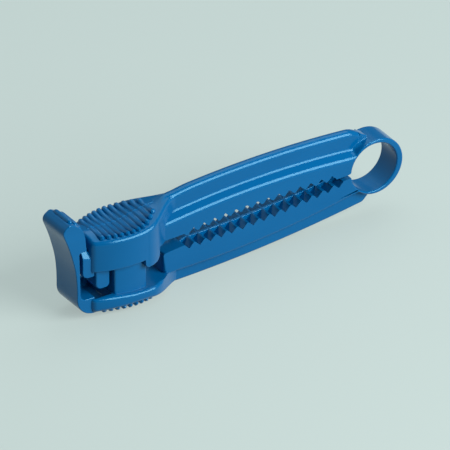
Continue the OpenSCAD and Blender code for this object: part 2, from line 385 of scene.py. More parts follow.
test = prism("test", [(0, 0), (4, 0), (4, 2), (0, 2)], 3, 0.3)
print("a rounded block has", len(test.data.polygons), "faces and", open_edges(test), "open edges")
bpy.data.objects.remove(test)

# %% [markdown]
# Node trees are built in code here, so that their sizes have names and the same script
# always gives the same shape. One small helper adds a node and gives each of its inputs
# either a value or a link, which keeps a tree as readable as a list of steps.

# %% Helpers for node trees


def feed(tree, node, inputs):
    """Gives a node's inputs their values, or links from the outputs of other nodes."""
    for key, value in inputs.items():
        if isinstance(value, bpy.types.NodeSocket):
            tree.links.new(value, node.inputs[key])
        else:
            node.inputs[key].default_value = value
    return node


def put(tree, kind, inputs=None, **settings):
    """Adds a node to a tree with these inputs and settings."""
    node = tree.nodes.new(kind)
    for name, value in settings.items():
        setattr(node, name, value)
    return feed(tree, node, inputs or {})


def calc(tree, operation, *values):
    """The output of a Math node."""
    return put(tree, "ShaderNodeMath", dict(enumerate(values)), operation=operation).outputs[0]


def xyz(tree, x=0.0, y=0.0, z=0.0):
    """A vector from three values or links."""
    return put(tree, "ShaderNodeCombineXYZ", {0: x, 1: y, 2: z}).outputs[0]


def start_tree(name, inputs):
    """A Geometry Nodes tree with these inputs, (label, kind, default) by short name."""
    tree = bpy.data.node_groups.new(name, "GeometryNodeTree")
    ids = {}
    for key, (label, kind, value) in inputs.items():
        item = tree.interface.new_socket(name=label, in_out="INPUT", socket_type="NodeSocket" + kind)
        if value is not None:
            item.default_value = value
        ids[key] = item.identifier
    tree.interface.new_socket(name="Material", in_out="INPUT", socket_type="NodeSocketMaterial")
    tree.interface.new_socket(name="Geometry", in_out="OUTPUT", socket_type="NodeSocketGeometry")
    return tree, ids, tree.nodes.new("NodeGroupInput").outputs


def end_tree(tree, given, geometry):
    """Makes instances real and sets the material, because an export drops bare instances."""
    real = put(tree, "GeometryNodeRealizeInstances", {0: geometry})
    paint = put(tree, "GeometryNodeSetMaterial", {"Geometry": real.outputs[0], "Material": given["Material"]})
    put(tree, "NodeGroupOutput", {0: paint.outputs[0]})


def dropped(tree, surface, where=None):
    """Where points (x, y, z), or a line's own points, meet a surface straight below."""
    target = put(tree, "GeometryNodeObjectInfo", {0: surface})
    inputs = {"Target Geometry": target.outputs["Geometry"], "Ray Direction": (0, 0, -1), "Ray Length": 0.1}
    if where is not None:
        inputs["Source Position"] = where
    return put(tree, "GeometryNodeRaycast", inputs).outputs["Hit Position"]


def tube(tree, curve, radius, sides, scale=None):
    """A closed round tube along a curve, thinner where scale is under 1."""
    ring = put(tree, "GeometryNodeCurvePrimitiveCircle", {"Resolution": sides, "Radius": radius})
    inputs = {"Curve": curve, "Profile Curve": ring.outputs[0], "Fill Caps": True}
    if scale is not None:
        inputs["Scale"] = scale
    return put(tree, "GeometryNodeCurveToMesh", inputs).outputs[0]


def along_rod(tree, power):
    """(distance from a rod's middle, 0 to 1; scale that rounds its ends off)."""
    factor = put(tree, "GeometryNodeSplineParameter").outputs["Factor"]
    t = calc(tree, "ABSOLUTE", calc(tree, "SUBTRACT", calc(tree, "MULTIPLY", factor, 2.0), 1.0))
    tip = calc(tree, "POWER", calc(tree, "MULTIPLY", t, 0.995), power)
    return t, calc(tree, "SQRT", calc(tree, "SUBTRACT", 1.0, tip))


def grown(name, tree, ids, values):
    """An object made by a node tree with these input values, as a plain mesh."""
    obj = bpy.data.objects.new(name, bpy.data.meshes.new(name))
    bpy.context.scene.collection.objects.link(obj)
    mod = obj.modifiers.new("nodes", "NODES")
    mod.node_group = tree
    for key, value in values.items():
        mod[ids[key]] = value
    return bake(obj)


print("node groups so far:", len(bpy.data.node_groups))

# %% [markdown]
# The notches of a jaw repeat at an even pitch along a line that bows gently, which is
# work for Geometry Nodes: a row of points, a wedge on each, and named inputs for pitch,
# count and depth. A cube turned by 45 degrees is the wedge. The wedges are then cut from
# the jaw's block, and only after that are the block's edges rounded, so that every tooth
# gets the soft edge of a moulded one.

# %% A Geometry Nodes tree for a row of wedges
PITCH = 3.877  # from notch to notch
DEPTH = 1.7  # of a notch


def wedge_tree():
    """A row of wedges, evenly spaced on a line that bows."""
    tree, ids, given = start_tree("Row of wedges", {
        "count": ("Count", "Int", 14), "pitch": ("Pitch", "Float", PITCH * MM),
        "first": ("First", "Float", -65.5 * MM), "depth": ("Depth", "Float", DEPTH * MM),
        "height": ("Height", "Float", 1.1 * MM), "bow_left": ("Bow left", "Float", 2.86),
        "bow_right": ("Bow right", "Float", 0.8), "middle": ("Middle", "Float", -45 * MM)})
    line = put(tree, "GeometryNodeMeshLine", {"Count": given["Count"]})
    index = put(tree, "GeometryNodeInputIndex").outputs[0]
    x = calc(tree, "ADD", given["First"], calc(tree, "MULTIPLY", index, given["Pitch"]))
    # the row bows away from its middle, more on one side than on the other
    off = calc(tree, "SUBTRACT", x, given["Middle"])
    left = calc(tree, "LESS_THAN", off, 0.0)
    bow = calc(tree, "ADD", calc(tree, "MULTIPLY", left, given["Bow left"]),
               calc(tree, "MULTIPLY", calc(tree, "SUBTRACT", 1.0, left), given["Bow right"]))
    fall = calc(tree, "MULTIPLY", bow, calc(tree, "MULTIPLY", off, off))
    place = xyz(tree, x, 0.0, calc(tree, "SUBTRACT", given["Height"], fall))
    row = put(tree, "GeometryNodeSetPosition", {"Geometry": line.outputs[0], "Position": place})
    edge = calc(tree, "MULTIPLY", given["Depth"], math.sqrt(2))
    box = put(tree, "GeometryNodeMeshCube", {"Size": xyz(tree, edge, 20 * MM, edge)})
    wedges = put(tree, "GeometryNodeInstanceOnPoints", {
        "Points": row.outputs[0], "Instance": box.outputs["Mesh"], "Rotation": (0, math.radians(45), 0)})
    end_tree(tree, given, wedges.outputs[0])
    return tree, ids


WEDGES, WEDGE_IN = wedge_tree()
print("inputs of the wedge tree:", ", ".join(WEDGE_IN))

# %% [markdown]
# Grip ridges are rods that lie half sunk in a surface, with rounded ends. The tree below
# lays a row of them across a pad. Each rod is a short curve, and a raycast drops its
# points onto the pad, so the ridges follow the dish and the rise of the surface. They are
# longest at the widest place of the pad, and their ends turn up a little.

# %% A Geometry Nodes tree for ridges that follow a surface


def ridge_tree():
    """A row of rods across a pad, half sunk in its surface."""
    tree, ids, given = start_tree("Ridges on a surface", {
        "surface": ("Surface", "Object", None), "count": ("Count", "Int", 11),
        "pitch": ("Pitch", "Float", 2 * MM), "first": ("First", "Float", -99.6 * MM),
        "centre": ("Centre", "Float", -91 * MM), "reach": ("Reach", "Float", 14 * MM),
        "span": ("Half span", "Float", 7.6 * MM), "radius": ("Radius", "Float", 0.85 * MM),
        "bury": ("Bury", "Float", 0.25 * MM), "skew": ("Skew", "Float", 0.5),
        "lift": ("Lift at the ends", "Float", 0.5 * MM)})
    line = put(tree, "GeometryNodeMeshLine", {"Count": given["Count"]})
    index = put(tree, "GeometryNodeInputIndex").outputs[0]
    x = calc(tree, "ADD", given["First"], calc(tree, "MULTIPLY", index, given["Pitch"]))
    row = put(tree, "GeometryNodeSetPosition", {"Geometry": line.outputs[0], "Position": xyz(tree, x)})
    # half the length of each rod falls off on both sides of the centre
    off = calc(tree, "DIVIDE", calc(tree, "SUBTRACT", x, given["Centre"]), given["Reach"])
    lean = calc(tree, "ADD", 1.0, calc(tree, "MULTIPLY", off, given["Skew"]))
    share = calc(tree, "SUBTRACT", 1.0, calc(tree, "MULTIPLY", calc(tree, "MULTIPLY", off, off), lean))
    half = calc(tree, "MULTIPLY", share, given["Half span"])
    rod = put(tree, "GeometryNodeCurvePrimitiveLine", {"Start": (0, -1, 0), "End": (0, 1, 0)})
    rods = put(tree, "GeometryNodeInstanceOnPoints", {
        "Points": row.outputs[0], "Instance": rod.outputs[0], "Scale": xyz(tree, 1.0, half, 1.0)})
    real = put(tree, "GeometryNodeRealizeInstances", {0: rods.outputs[0]})
    fine = put(tree, "GeometryNodeResampleCurve", {"Curve": real.outputs[0], "Count": 33})
    t, taper = along_rod(tree, 16.0)
    # each point of each rod drops onto the surface
    here = put(tree, "GeometryNodeInputPosition").outputs[0]
    above = put(tree, "ShaderNodeVectorMath", {0: here, 1: (0, 0, 0.05)}, operation="ADD").outputs[0]
    hit = put(tree, "ShaderNodeSeparateXYZ", {0: dropped(tree, given["Surface"], above)})
    own = put(tree, "ShaderNodeSeparateXYZ", {0: here})
    rise = calc(tree, "MULTIPLY", calc(tree, "POWER", t, 3.0), given["Lift at the ends"])
    height = calc(tree, "ADD", calc(tree, "SUBTRACT", hit.outputs[2], given["Bury"]), rise)
    laid = put(tree, "GeometryNodeSetPosition", {
        "Geometry": fine.outputs[0], "Position": xyz(tree, own.outputs[0], own.outputs[1], height)})
    end_tree(tree, given, tube(tree, laid.outputs[0], given["Radius"], 14, taper))
    return tree, ids


RIDGES, RIDGE_IN = ridge_tree()
print("inputs of the ridge tree:", ", ".join(RIDGE_IN))

# %% [markdown]
# The upper arm starts as two lofts: a pad, which flares from a thumb's width down to the
# rib, and the arm itself, whose shoulder and rib run on to the ring. The two overlap where
# the pad narrows, and joining them there gives the same soft valley that the mould has.
# More sections stand close together wherever the outline turns sharply.

# %% Upper arm: two lofts
LOBE = (-86.0, -79.3)  # two lobes hang down between these places and hold the guide block
LOBE_R = 1.7  # the rounding of their lower corners
LOBE_Z = -3.5  # and how low they reach
SKIRT_Z = -0.5  # the underside of the pad
TEETH_END = -74.6  # the flat beside the teeth starts here
STEP = 0.02  # sections stand this close on both sides of a step


def pad_loft(name, form, bottom, steps):
    """Skins a pad and its flare, with extra sections on both sides of each step."""
    xs = [PAD_END + END_R * (1 - math.cos(math.radians(a))) for a in range(0, 91, 15)]
    xs += [mix(PAD_END + END_R + 0.8, FLARE, i / 18) for i in range(19)]
    xs += [mix(FLARE, FLARE_END - 0.7, i / 30) for i in range(1, 31)]
    turns = [LOBE_R * k for k in (1, 0.75, 0.5, 0.3, 0.15, 0.05)]
    xs += [LOBE[1] - t for t in turns] + [LOBE[0] + t for t in turns]
    xs += [v + d for v in steps for d in (-STEP, STEP)]
    return loft(name, [[(x, y, z) for y, z in pad_section(x, form, bottom(x))] for x in sorted(set(xs))])


def arm_loft(name, form, bottom, start):
    """Skins the arm itself from start to the ring, finer where it meets the ring."""
    xs = [mix(start, -9, i / 64) for i in range(64)] + [mix(-9, 1.2, i / 34) for i in range(35)]
    return loft(name, [[(x, y, z) for y, z in arm_section(x, form, bottom)] for x in xs])


def upper_pad_bottom(x):
    """Underside of the upper pad: its skirt, its lobes, then the flat by the teeth."""
    if x < LOBE[0]:
        return SKIRT_Z
    if x < LOBE[1]:
        t = max(0.0, LOBE_R - min(x - LOBE[0], LOBE[1] - x))
        return LOBE_Z + LOBE_R - math.sqrt(max(0.0, LOBE_R * LOBE_R - t * t))
    return 0.45 if x < TEETH_END else 1.0


upper = pad_loft("upper_arm_skin", UPPER, upper_pad_bottom, [*LOBE, TEETH_END])
combine(upper, [arm_loft("upper_arm_rib", UPPER, 2.5, -78)])
print("upper lofts:", len(upper.data.polygons), "faces,", open_edges(upper), "open edges")

# %% [markdown]
# The teeth hang under the arm as a block of their own. Its outline is the line of the
# tooth tips, which bows as the closed jaws press evenly on a tube. The wedges cut the
# notches, and a small bevel goes round everything that the cuts have left.

# %% Upper arm: teeth
# Height of the tips at a jaw's middle, how fast they fall to its left and right, its middle
UPPER_TIPS = (1.1, 0.00286, 0.0008, -45)


def tips(line, x):
    """Height of the tooth tips at x."""
    height, left, right, middle = line
    return height - (left if x < middle else right) * (x - middle) ** 2


def round_corners(block, radius):
    """Rounds the two upright edges at the left end of a block."""
    bm = bmesh.new()
    bm.from_mesh(block.data)
    left = min(v.co.x for v in bm.verts)
    upright = [e for e in bm.edges if all(abs(v.co.x - left) < 1e-6 for v in e.verts)
               and abs(e.verts[0].co.y - e.verts[1].co.y) < 1e-6]
    bmesh.ops.bevel(bm, geom=upright, offset=radius * MM, segments=6, profile=0.5, affect="EDGES")
    bmesh.ops.recalc_face_normals(bm, faces=bm.faces)
    bm.to_mesh(block.data)
    bm.free()


def jaw_block(name, outline, line, count, first, corner):
    """The jaw's block, with its notches cut along the tips and then its edges rounded."""
    height, left, right, middle = line
    block = prism(name, outline[::-1], JAW)
    round_corners(block, corner)
    wedges = grown("wedges", WEDGES, WEDGE_IN, {
        "count": count, "pitch": PITCH * MM, "first": first * MM, "depth": DEPTH * MM,
        "height": height * MM, "bow_left": left / MM, "bow_right": right / MM, "middle": middle * MM})
    print(name, "wedges:", len(wedges.data.polygons) // 6)
    combine(block, [wedges], "DIFFERENCE")
    return rounded(block, 0.35, 3, 30)


outline = [(-79.4, 0.45), (-68.7, 0.45), (-67.95, tips(UPPER_TIPS, -67.5))]
outline += [(x, tips(UPPER_TIPS, x)) for x in [mix(-67.2, -13, i / 30) for i in range(31)]]
outline += [(-8.9, 0.3), (-8.3, 0.45), (-8.0, 0.9), (-7.0, 2.6), (-6.0, 4.2), (-79.4, 4.2)]
block = jaw_block("upper_teeth", outline, UPPER_TIPS, count=14, first=-65.5, corner=0.3)
combine(upper, [block])
print("with teeth:", len(upper.data.polygons), "faces,", open_edges(upper), "open edges")

# %% [markdown]
# The pieces round the thumb pad are simple blocks with generous roundings. They are
# joined to the skin, or cut from it, one after another, so the moulding stays one closed
# skin with no faces left inside it.

# %% Upper arm: hollow, tongue and nose
WALL = 1.5  # the skirt of the upper pad
SLIP = 0.3  # clearance round the guide block
TONGUE_HALF = 6.0  # half the width of the tongue that hangs down at the pad's end
NOSE_HALF = 5.4  # half the width of the nose that the latch catches


def plan(x0, x1, inset, n=14):
    """Plan view of a pad from x0 to x1, drawn in from its walls."""
    xs = [mix(x0, x1, i / n) for i in range(n + 1)]
    side = [(x, pad_width(x) - inset) for x in xs]
    return [(x, -y) for x, y in side] + side[::-1]


combine(upper, [slab("hollow", plan(-96.9, -84.2, WALL), -9, 7, 0.4)], "DIFFERENCE")

tongue = [(-101.9, 3)] + arc(-99.7, -5.2, 2.2, 180, 270, 6)
tongue += arc(-98.3, -6.0, 1.4, 270, 360, 5) + [(-96.9, 3)]
combine(upper, [prism("tongue", tongue, TONGUE_HALF, 0.5)])


def nose_row(x, low, side, crest, cut):
    """One section of the nose: full width up to its side, then chamfered to its crest."""
    return [(x, -NOSE_HALF, low), (x, NOSE_HALF, low), (x, NOSE_HALF, side),
            (x, NOSE_HALF - cut, crest), (x, -NOSE_HALF + cut, crest), (x, -NOSE_HALF, side)]


rows = [nose_row(-106.3, -0.4, 5.0, 7.5, 1.5), nose_row(-105.8, -1.6, 4.9, 7.5, 1.5),
        nose_row(-104.6, -2.3, 4.5, 7.0, 1.2), nose_row(-103.5, -2.4, 4.1, 6.2, 0.9),
        nose_row(-102.0, -2.4, 3.7, 5.2, 0.6)]
combine(upper, [rounded(loft("nose", rows), 0.45, 3, 20)])
print("upper arm with nose and tongue:", len(upper.data.polygons), "faces,", open_edges(upper), "open")

# %% [markdown]
# A mould leaves a fine raised witness line where an insert met it, and here it runs along
# the thumb pad, over the ridges. It is a thin tube on a line that drops onto whatever
# surface lies below, so it is added last and climbs over each ridge by itself.

# %% Upper arm: grip ridges and witness line


def witness_tree():
    """A thin raised line along X that lies on a surface."""
    tree, ids, given = start_tree("Witness line", {
        "surface": ("Surface", "Object", None), "start": ("Start", "Float", -101 * MM),
        "end": ("End", "Float", -77 * MM), "offset": ("Offset", "Float", 0.5 * MM),
        "radius": ("Radius", "Float", 0.24 * MM), "sink": ("Sink", "Float", 0.06 * MM)})
    above = 30 * MM
    line = put(tree, "GeometryNodeCurvePrimitiveLine", {
        "Start": xyz(tree, given["Start"], given["Offset"], above),
        "End": xyz(tree, given["End"], given["Offset"], above)})
    fine = put(tree, "GeometryNodeResampleCurve", {"Curve": line.outputs[0], "Count": 140})
    sunk = put(tree, "ShaderNodeVectorMath", {
        0: dropped(tree, given["Surface"]), 1: xyz(tree, 0.0, 0.0, given["Sink"])}, operation="SUBTRACT")
    laid = put(tree, "GeometryNodeSetPosition", {"Geometry": fine.outputs[0], "Position": sunk.outputs[0]})
    end_tree(tree, given, tube(tree, laid.outputs[0], given["Radius"], 8))
    return tree, ids


WITNESS, WITNESS_IN = witness_tree()


RIDGE_SIZES = {"pitch": 1.985, "reach": 16.2, "radius": 0.95, "bury": 0.58}


def add_ridges(base, **sizes):
    """Joins a row of eleven grip ridges to a pad, with sizes in millimetres."""
    values = {key: size * MM for key, size in {**RIDGE_SIZES, **sizes}.items()}
    rods = grown("ridges", RIDGES, RIDGE_IN, {"surface": base, "count": 11, **values})
    low = min(v.co.z for v in rods.data.vertices) / MM
    high = max(v.co.z for v in rods.data.vertices) / MM
    print("ridges:", len(rods.data.polygons), "faces, heights", round(low, 2), "to", round(high, 2))
    return combine(base, [rods])


add_ridges(upper, first=-99.65, centre=-90.0, span=8.7, lift=1.2)
line = grown("witness", WITNESS, WITNESS_IN, {"surface": upper, "start": -101.0 * MM, "end": -76.6 * MM})
print("witness line:", len(line.data.polygons), "faces")
combine(upper, [line])

# %% [markdown]
# The spring ring is a tube's slice whose outside is set off from its hole, so its wall
# is thickest at the far side. It is made whole and joined to the upper arm, and then
# the eye is bored through both with a cutter that flares at its ends to round the rim.

# %% Ring, eye cutter and the split
RIM_OUT, RIM_IN = 0.5, 0.45  # the roundings of the ring's outer and inner edges


def lathe(name, profile, dx=0.0, dz=0.0, n=144):
    """Turns a profile (radius, y) about the line x = dx, z = dz."""
    m = len(profile)
    verts, faces = [], []
    for i in range(n):
        a = 2 * math.pi * i / n
        verts += [(dx + r * math.cos(a), y, dz + r * math.sin(a)) for r, y in profile]
    for i in range(n):
        for j in range(m - 1):
            a, b = i * m + j, ((i + 1) % n) * m + j
            faces.append((a, a + 1, b + 1, b))
    faces.append(tuple(i * m for i in range(n)))
    faces.append(tuple(i * m + m - 1 for i in reversed(range(n))))
    return new_object(name, verts, faces)


def rim(r, half, turn, sign):
    """Profile of a disc (sign 1) or of a cutter (sign -1) with rounded rims."""
    if sign > 0:
        side = arc(r - turn, half - turn, turn, 0, 90, 5)
    else:
        side = arc(r + turn, half - turn, turn, 180, 90, 5) + [(r + turn, half + 2)]
    return [(r_, -y) for r_, y in reversed(side)] + side


def keep(obj, point, normal):
    """Cuts an object at a plane, keeps the side that the normal leaves, and closes it."""
    bm = bmesh.new()
    bm.from_mesh(obj.data)
    cut = bmesh.ops.bisect_plane(bm, geom=bm.verts[:] + bm.edges[:] + bm.faces[:], dist=1e-8,
                                 plane_co=Vector(point) * MM, plane_no=normal, clear_outer=True)
    edges = [e for e in cut["geom_cut"] if isinstance(e, bmesh.types.BMEdge)]
    bmesh.ops.holes_fill(bm, edges=edges, sides=0)
    bm.normal_update()
    bm.to_mesh(obj.data)
    bm.free()
    return obj


def copy_of(obj, name):
    """A second object with a mesh of its own."""
    new = obj.copy()
    new.data = obj.data.copy()
    new.name = name
    bpy.context.scene.collection.objects.link(new)
    return new


def bore_eye(obj, dz):
    """Bores the ring's eye through a skin."""
    return combine(obj, [lathe("eye", rim(EYE_R, JAW, RIM_IN, -1), EYE_DX, dz)], "DIFFERENCE")


RING_END = -0.8  # the arms end and the part of the ring that flexes starts here
disc = lathe("disc", rim(RING_R, JAW, RIM_OUT, 1), RING_DX, -EYE_DX)
ring = copy_of(disc, "spring_ring_skin")
combine(upper, [keep(copy_of(disc, "ring_root"), (0, 0, 0.6), (0, 0, -1))])
for obj in (upper, ring):
    bore_eye(obj, -EYE_DX)
keep(upper, (RING_END, 0, 0), (1, 0, 0))
keep(ring, (RING_END, 0, 0), (-1, 0, 0))
print("upper arm:", len(upper.data.polygons), "faces,", open_edges(upper), "open; ring:",
      len(ring.data.polygons), "faces,", open_edges(ring), "open")

# %% [markdown]
# The lower arm is made the same way up as the upper one and turned over at the end. Its
# inside carries more: a wide flange, a guide block that runs in the upper pad's hollow,
# a pinching bead along the middle of the teeth, and the foot of the latch.

# %% Lower arm: lofts, teeth and bead
RECESS = -76.3  # the end of the lower jaw, beside the upper pad's lobes
LOWER_TIPS = (3.85, 0.0014, 0.0014, -55)  # the same four numbers as for the upper jaw


def lower_pad_bottom(x):
    """Underside of the lower pad, which rises to a wide flange."""
    return 9.9 + 1.2 * ramp(-100, -84, x)


lower = pad_loft("lower_arm_skin", LOWER, lower_pad_bottom, [])
combine(lower, [arm_loft("lower_arm_rib", LOWER, 7.0, RECESS + 1.4)])
outline = [(RECESS, 11.5), (RECESS, 4.9)] + arc(RECESS + 0.8, 4.9, 0.8, 180, 270, 4)[1:]
outline += [(x, tips(LOWER_TIPS, x) + 0.05) for x in [mix(-69.3, -11, i / 30) for i in range(31)]]
outline += [(-8.3, 1.2), (-7.7, 1.5), (-7.3, 2.1), (-6.0, 4.6), (-5.6, 6.0)]
outline += [(-30, 9.5), (-60, 10.5), (-74, 11.5)]
block = jaw_block("lower_teeth", outline, LOWER_TIPS, count=15, first=-66.94, corner=1.2)
combine(lower, [block])
bead = [(-68.5, 4.6)] + [(x, tips(LOWER_TIPS, x)) for x in (-66.2, *range(-62, -11, 5))]
bead += [(-10, 1.6), (-10, 6), (-68.5, 6.5)]
combine(lower, [prism("bead", bead[::-1], half=0.5, bevel=0.2)])
print("lower arm:", len(lower.data.polygons), "faces,", open_edges(lower), "open")

# %% [markdown]
# The latch is one plate that grows out of a rounded foot, thin where it flexes and thick
# at the head that a finger pulls. Its side view is drawn with smooth curves through a few
# points, and spread across the clamp. It is then cut level above the foot: the foot joins
# the lower arm, and the rest is kept as a skin of its own.

# %% Latch and its foot
LATCH_HALF = 5.8  # half the width of the latch
LATCH_CUT = -6.5  # the latch flexes above this height


def catmull(points, n=5):
    """A smooth row of points through the given ones."""
    out = []
    for i in range(len(points) - 1):
        p0, p1, p2, p3 = (Vector(points[max(0, min(len(points) - 1, i + k))]) for k in (-1, 0, 1, 2))
        for j in range(n):
            t = j / n
            q = 0.5 * (2 * p1 + (p2 - p0) * t + (2 * p0 - 5 * p1 + 4 * p2 - p3) * t * t
                       + (3 * p1 - p0 - 3 * p2 + p3) * t ** 3)
            out.append(tuple(q))
    return out + [tuple(points[-1])]


outer = catmull([(-108.5, -7), (-108.65, -3), (-109.25, 2), (-110.6, 7.5), (-112.05, 12), (-113.35, 15.3),
                 (-113.55, 16.7), (-113.0, 17.8), (-112, 18.5), (-111, 18.9), (-109.7, 18.4)])
head = catmull([(-109.7, 18.4), (-108.1, 17.4), (-106.55, 15.6), (-105.7, 13), (-105.3, 10), (-105.15, 8.1)])
whole = arc(-102.1, -8.7, 6.4, 270, 180, 12) + outer + head[1:]
whole += [(-105.3, 7.7), (-107.4, 7.7), (-107.75, 7.2), (-107.3, -5)] + arc(-105.1, -7.2, 2.2, 180, 270, 8)
whole += [(-100.4, -9.4), (-100.4, -15.1)]
latch = prism("latch_skin", whole[::-1], LATCH_HALF, 0.45, 4)
foot = keep(copy_of(latch, "foot"), (0, 0, LATCH_CUT), (0, 0, 1))
keep(latch, (0, 0, LATCH_CUT), (0, 0, -1))
print("latch:", len(latch.data.polygons), "faces, foot:", len(foot.data.polygons), "faces")

# %% [markdown]
# The lower arm's guide block runs in the upper pad's hollow and keeps the jaws in line,
# and a pocket takes the upper arm's tongue. The foot is drawn the right way up, so it is
# turned over before it joins the upside-down arm, and all of it is turned over at the end.

# %% Lower arm: guide block, foot, pocket, ridges and eye
UPSIDE_DOWN = Matrix.Rotation(math.pi, 4, "X")
combine(lower, [slab("guide", plan(-95.9, -84.5, WALL + SLIP), -1.0, 13, 0.5)])
foot.data.transform(UPSIDE_DOWN)
combine(lower, [foot])
pocket_half = TONGUE_HALF + SLIP
pocket = [(-102.4, -pocket_half), (-96.2, -pocket_half), (-96.2, pocket_half), (-102.4, pocket_half)]
combine(lower, [slab("pocket", pocket, -5, 13.4, 0.3)], "DIFFERENCE")
add_ridges(lower, first=-98.9, centre=-88.7, span=9.1, lift=1.25)
disc.data.transform(UPSIDE_DOWN)
combine(lower, [keep(disc, (0, 0, 2.4), (0, 0, -1))])
bore_eye(lower, EYE_DX)
keep(lower, (RING_END, 0, 0), (1, 0, 0))
lower.data.transform(UPSIDE_DOWN)
print("lower arm:", len(lower.data.polygons), "faces,", open_edges(lower), "open")

# %% [markdown]
# Four small rods give the thumb its hold on the latch's head. They stand at even steps
# along a bend, so the tree draws the bend as a quadratic curve through its three control
# points, cuts it into even steps, and sets a rod with rounded ends on each.

# %% Latch: grip on the head


def grip_tree():
    """Rods across the clamp, spaced evenly along a bend."""
    tree, ids, given = start_tree("Rods on a bend", {
        "start": ("Start", "Vector", (0, 0, 0)), "middle": ("Middle", "Vector", (0, 0, 0)),
        "end": ("End", "Vector", (0, 0, 0)), "count": ("Count", "Int", 4),
        "half": ("Half span", "Float", 4.4 * MM), "radius": ("Radius", "Float", 0.9 * MM)})
    bend = put(tree, "GeometryNodeCurveQuadraticBezier", {k: given[k] for k in ("Start", "Middle", "End")})
    places = put(tree, "GeometryNodeResampleCurve", {"Curve": bend.outputs[0], "Count": given["Count"]})
    other = calc(tree, "MULTIPLY", given["Half span"], -1.0)
    line = put(tree, "GeometryNodeCurvePrimitiveLine", {
        "Start": xyz(tree, 0.0, other), "End": xyz(tree, 0.0, given["Half span"])})
    fine = put(tree, "GeometryNodeResampleCurve", {"Curve": line.outputs[0], "Count": 33})
    rod = tube(tree, fine.outputs[0], given["Radius"], 20, along_rod(tree, 9.0)[1])
    rods = put(tree, "GeometryNodeInstanceOnPoints", {"Points": places.outputs[0], "Instance": rod})
    end_tree(tree, given, rods.outputs[0])
    return tree, ids


GRIP, GRIP_IN = grip_tree()
bend = {"start": (-110.05, 0, 18.75), "middle": (-106.95, 0, 17.0), "end": (-105.8, 0, 13.1)}
grip = grown("grip", GRIP, GRIP_IN, {key: [c * MM for c in place] for key, place in bend.items()})
print("grip:", len(grip.data.polygons), "faces,", open_edges(grip), "open edges")
combine(latch, [grip])
print("latch:", len(latch.data.polygons), "faces,", open_edges(latch), "open")

# %% [markdown]
# Moulded plastic is smooth where it curves and crisp where two faces meet. Edges that
# turn sharply are marked, the rest shade smoothly, and the Weighted Normal modifier
# keeps large faces flat, so that a highlight runs only along the roundings.

# %% Smooth shading


def smooth(obj, sharp=32):
    """Welds doubles, marks sharp edges and weights the normals of a finished skin."""
    bm = bmesh.new()
    bm.from_mesh(obj.data)
    bmesh.ops.remove_doubles(bm, verts=bm.verts, dist=2e-6)
    bmesh.ops.dissolve_degenerate(bm, edges=bm.edges, dist=1e-6)
    for f in bm.faces:
        f.smooth = True
    for e in bm.edges:
        e.smooth = e.calc_face_angle(0) < math.radians(sharp)
    bm.to_mesh(obj.data)
    bm.free()
    obj.modifiers.new("weigh", "WEIGHTED_NORMAL").keep_sharp = True
    return bake(obj)


SKINS = (upper, lower, ring, latch)
for obj in SKINS:
    smooth(obj)
    print(obj.name, len(obj.data.polygons), "faces,", open_edges(obj), "open edges")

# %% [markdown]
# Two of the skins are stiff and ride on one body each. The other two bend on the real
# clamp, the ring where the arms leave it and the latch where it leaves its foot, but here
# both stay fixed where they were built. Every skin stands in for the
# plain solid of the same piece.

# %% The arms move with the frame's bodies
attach(upper, "upper")
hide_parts("upper_arm")
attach(lower, "lower")
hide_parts("lower_arm")
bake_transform(ring)
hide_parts("spring_ring")
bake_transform(latch)
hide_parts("latch")
print("skins:", ", ".join(obj.name for obj in SKINS))

# %% [markdown]
# The clamp is coloured through and through: a deep, even blue with a soft sheen. Melted
# plastic leaves faint flow marks along the mould, a little duller than the rest. The group
# gives out only colour, roughness and relief, so any shader can use them, and it stretches
# its noise along X, the way that the plastic ran.

# %% A shader group for moulded plastic


def moulded_group():
    """Colour, roughness and relief of a polished moulding, from Object coordinates."""
    group = bpy.data.node_groups.new("Moulded plastic", "ShaderNodeTree")
    for name, kind, value in (
            ("Colour", "Color", (0, 0.1, 0.3, 1)), ("Deep colour", "Color", (0, 0.08, 0.25, 1)),
            ("Flow size", "Float", 90.0), ("Grain size", "Float", 1800.0),
            ("Smoothest", "Float", 0.12), ("Dullest", "Float", 0.22)):
        item = group.interface.new_socket(name=name, in_out="INPUT", socket_type="NodeSocket" + kind)
        item.default_value = value
    for name, kind in (("Colour", "Color"), ("Roughness", "Float"), ("Relief", "Float")):
        group.interface.new_socket(name=name, in_out="OUTPUT", socket_type="NodeSocket" + kind)
    given = put(group, "NodeGroupInput").outputs
    place = put(group, "ShaderNodeTexCoord").outputs["Object"]
    along = put(group, "ShaderNodeMapping", {"Vector": place, "Scale": (0.35, 1.0, 1.0)}).outputs[0]

    def noise(size, detail, rough):
        return put(group, "ShaderNodeTexNoise", {
            "Vector": along, "Scale": size, "Detail": detail, "Roughness": rough}).outputs["Fac"]

    def spread(value, low, high, to_low, to_high):
        return put(group, "ShaderNodeMapRange", {
            "Value": value, "From Min": low, "From Max": high,
            "To Min": to_low, "To Max": to_high}).outputs[0]

    flow = noise(given["Flow size"], 3.0, 0.55)
    grain = noise(given["Grain size"], 2.0, 0.6)
    tone = put(group, "ShaderNodeMix", {
        "Factor": spread(flow, 0.3, 0.7, 0.0, 1.0), "A": given["Colour"], "B": given["Deep colour"]},
        data_type="RGBA")
    put(group, "NodeGroupOutput", {
        "Colour": tone.outputs["Result"],
        "Roughness": spread(flow, 0.35, 0.65, given["Smoothest"], given["Dullest"]),
        "Relief": calc(group, "MULTIPLY_ADD", grain, 0.25, flow)})
    return group


MOULDED = moulded_group()
print("outputs of the plastic group:", [i.name for i in MOULDED.interface.items_tree if i.in_out == "OUTPUT"])

# %% [markdown]
# The group feeds one Principled shader. Its sheen is tinted towards blue, so that the
# lights don't wash the colour out, and a relief of a fiftieth of a millimetre keeps the
# highlights a little uneven, as they are on a real moulding.

